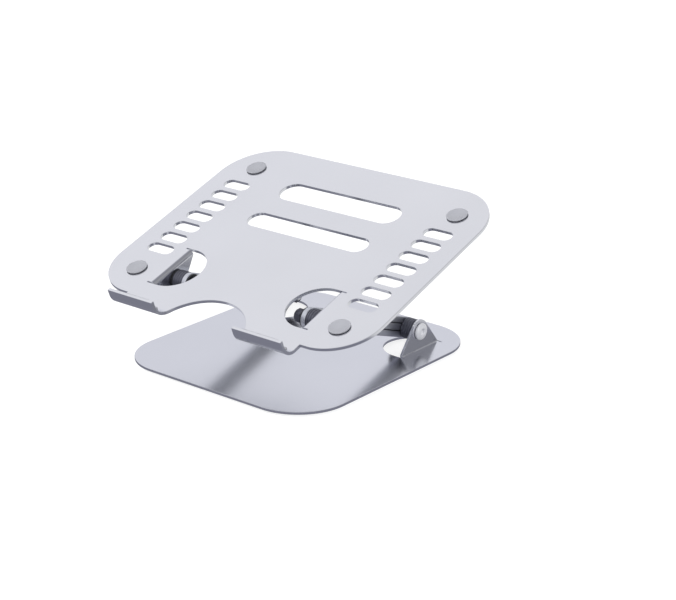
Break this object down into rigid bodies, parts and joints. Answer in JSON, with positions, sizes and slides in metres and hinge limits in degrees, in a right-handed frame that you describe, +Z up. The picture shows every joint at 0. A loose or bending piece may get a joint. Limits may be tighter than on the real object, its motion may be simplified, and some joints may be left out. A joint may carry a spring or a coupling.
{
  "type": "laptop stand",
  "caption": "Folding laptop stand of bent sheet: slotted support plate with front lips, two pivoting arms and a flat base plate.",
  "frame": {"origin": "on the desk, under the middle of the bounding box of the open stand", "axes": "+X to the right across the stand, -Y towards the user and the lips, +Z up"},
  "size_m": [0.25, 0.217, 0.1204],
  "materials": {
    "satin_aluminium": "bead-blasted and clear anodised, satin",
    "arm_aluminium": "satin anodised bar",
    "silicone": "grey translucent silicone",
    "foot_rubber": "matt grey rubber",
    "steel": "bright zinc plated",
    "black_steel": "black oxide",
    "nylon": "black moulded nylon",
    "bronze": "sintered bronze"
  },
  "bodies": {
    "base": {"base_plate": "satin_aluminium", "front_left_foot": "foot_rubber", "rear_left_foot": "foot_rubber", "front_right_foot": "foot_rubber", "rear_right_foot": "foot_rubber", "lower_left_bolt": "steel", "lower_left_outer_washer": "nylon", "lower_left_friction_barrel": "black_steel", "lower_left_inner_washer": "nylon", "lower_left_disc_spring": "black_steel", "lower_left_nut": "black_steel", "lower_right_bolt": "steel", "lower_right_outer_washer": "nylon", "lower_right_friction_barrel": "black_steel", "lower_right_inner_washer": "nylon", "lower_right_disc_spring": "black_steel", "lower_right_nut": "black_steel"},
    "arms": {"left_arm": "arm_aluminium", "right_arm": "arm_aluminium", "lower_left_bush": "bronze", "lower_right_bush": "bronze", "upper_left_bush": "bronze", "upper_right_bush": "bronze"},
    "upper_pivots": {"upper_left_bolt": "steel", "upper_left_outer_washer": "nylon", "upper_left_friction_barrel": "black_steel", "upper_left_inner_washer": "nylon", "upper_left_disc_spring": "black_steel", "upper_left_nut": "black_steel", "upper_right_bolt": "steel", "upper_right_outer_washer": "nylon", "upper_right_friction_barrel": "black_steel", "upper_right_inner_washer": "nylon", "upper_right_disc_spring": "black_steel", "upper_right_nut": "black_steel"},
    "plate": {"support_plate": "satin_aluminium", "front_left_pad": "silicone", "rear_left_pad": "silicone", "front_right_pad": "silicone", "rear_right_pad": "silicone", "left_lip_liner": "silicone", "right_lip_liner": "silicone"}
  },
  "joints": [
    {"name": "arm_lift", "type": "hinge", "parent": "base", "child": "arms", "pos_m": [0, 0.05953, 0.0181], "axis": [-1, 0, 0], "range_deg": [-18.9, 60.6]},
    {"name": "upper_pivot_level", "type": "hinge", "parent": "arms", "child": "upper_pivots", "pos_m": [0, -0.04894, 0.0563], "axis": [1, 0, 0], "range_deg": [-18.9, 60.6]},
    {"name": "plate_tilt", "type": "hinge", "parent": "upper_pivots", "child": "plate", "pos_m": [0, -0.04894, 0.0563], "axis": [1, 0, 0], "range_deg": [-19.4, 7.6]}
  ],
  "couplings": [
    {"joint": "upper_pivot_level", "follows": "arm_lift", "ratio": 1}
  ]
}
